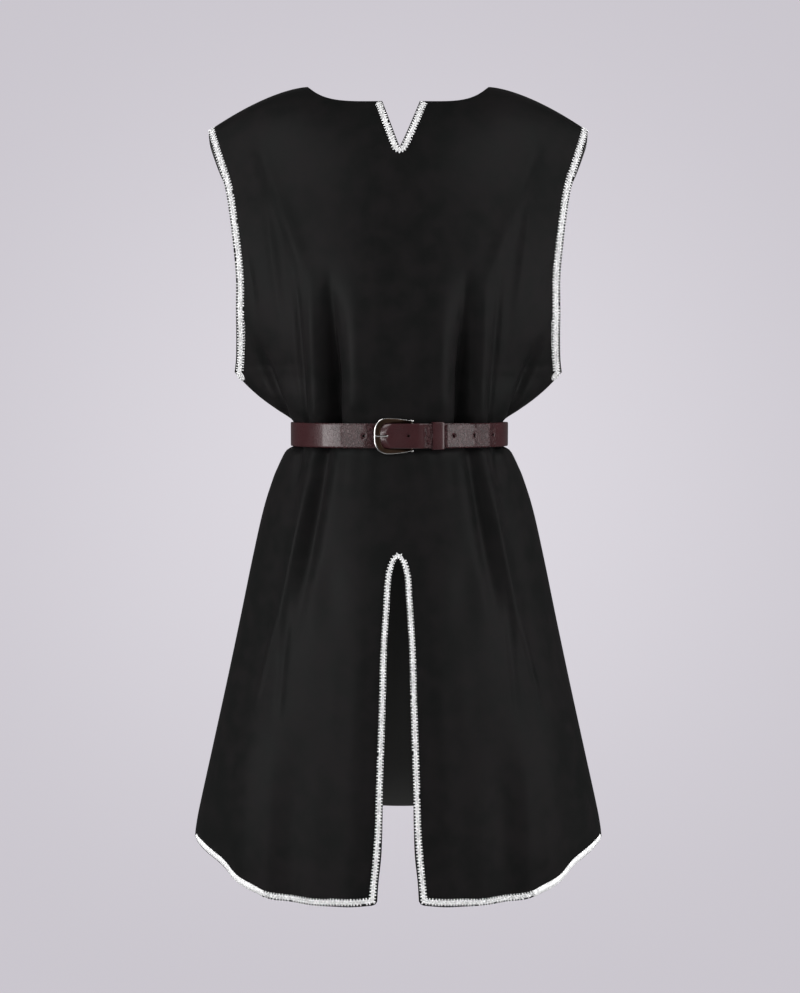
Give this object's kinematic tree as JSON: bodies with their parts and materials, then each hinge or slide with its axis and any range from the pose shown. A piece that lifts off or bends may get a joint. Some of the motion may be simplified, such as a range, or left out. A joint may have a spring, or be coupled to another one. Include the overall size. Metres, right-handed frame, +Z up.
{
  "type": "medieval tunic dress with belt",
  "caption": "Sleeveless long tunic dress, filled out as worn, with braid round a neck notch, armholes, front slit and front hem, and a fastened leather belt with a D buckle.",
  "frame": {"origin": "middle between the neck ends of the two shoulder seams, where a wearer's shoulders hold the dress", "axes": "+Z up along the dress, the front faces -Y, +X is the wearer's left"},
  "size_m": [0.6022, 0.3692, 1.1331],
  "materials": {
    "cloth": "smooth black woven cloth with a soft sheen",
    "braid": "white tufted braid with a fine cross stitch",
    "leather": "glossy dark red leather with fine creases",
    "metal": "bright plated metal with a dark inner bevel"
  },
  "bodies": {
    "root": {"front_panel": "cloth", "back_panel": "cloth", "notch_braid": "braid", "slit_braid": "braid", "hem_braid_left": "braid", "hem_braid_right": "braid", "armhole_braid_left": "braid", "armhole_braid_right": "braid", "belt_strap": "leather", "belt_keeper": "leather", "buckle_frame": "metal", "buckle_prong": "metal"}
  },
  "joints": []
}
